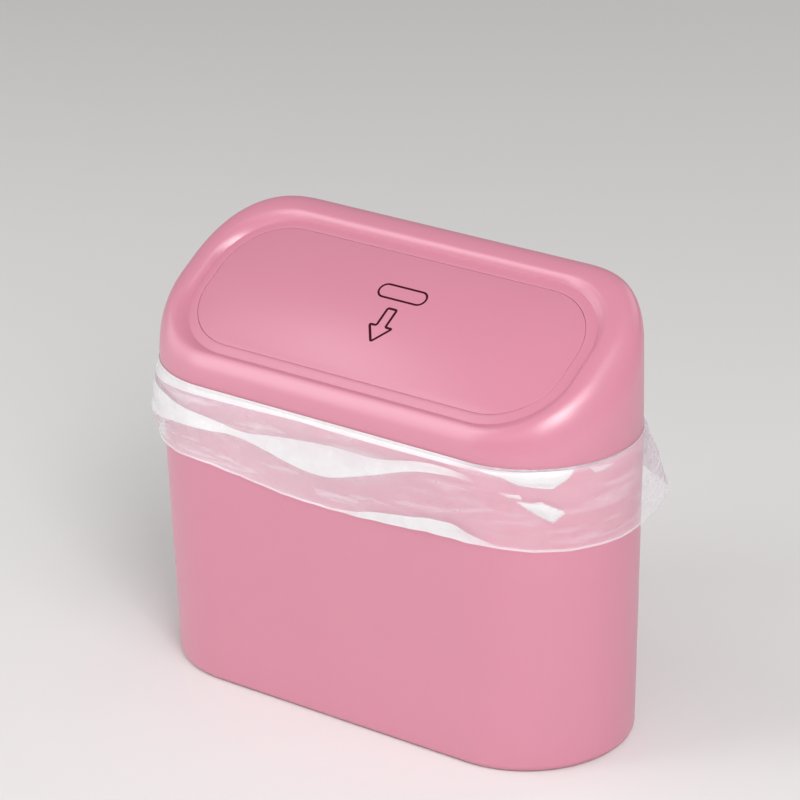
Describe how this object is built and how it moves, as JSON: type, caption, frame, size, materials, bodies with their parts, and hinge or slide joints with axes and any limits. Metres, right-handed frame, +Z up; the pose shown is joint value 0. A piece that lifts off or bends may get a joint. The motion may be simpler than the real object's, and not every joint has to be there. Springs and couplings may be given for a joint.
{
  "type": "car trash bin",
  "caption": "Small oval waste bin for a car, with a slanted hood, a sprung push flap, a thin liner bag folded over the rim and hooks at the back to hang it from a door pocket.",
  "frame": {"origin": "centre of the bucket's flat base, on the surface that it stands on", "axes": "+X along the width, to the right as seen from the front; +Y to the back, where the hooks are; +Z up"},
  "size_m": [0.2226, 0.1075, 0.1878],
  "materials": {
    "pink_plastic": "satin moulded polypropylene",
    "bag_film": "thin translucent white film",
    "steel": "drawn steel"
  },
  "bodies": {
    "bucket_body": {"bucket": "pink_plastic", "liner_bag": "bag_film", "hook_left": "pink_plastic", "hook_right": "pink_plastic"},
    "hood_body": {"hood": "pink_plastic", "hinge_rod": "steel", "return_spring": "steel"},
    "flap_body": {"flap": "pink_plastic"}
  },
  "joints": [
    {"name": "hood_lift", "type": "slide", "parent": "bucket_body", "child": "hood_body", "axis": [0, 0, 1], "range_m": [0, 0.04]},
    {"name": "flap_hinge", "type": "hinge", "parent": "hood_body", "child": "flap_body", "pos_m": [0, 0.01695, 0.16968], "axis": [1, 0, 0], "range_deg": [0, 60], "stiffness_Nm_per_rad": 0.02, "springref_deg": -68.75, "deforming": ["return_spring"]}
  ]
}
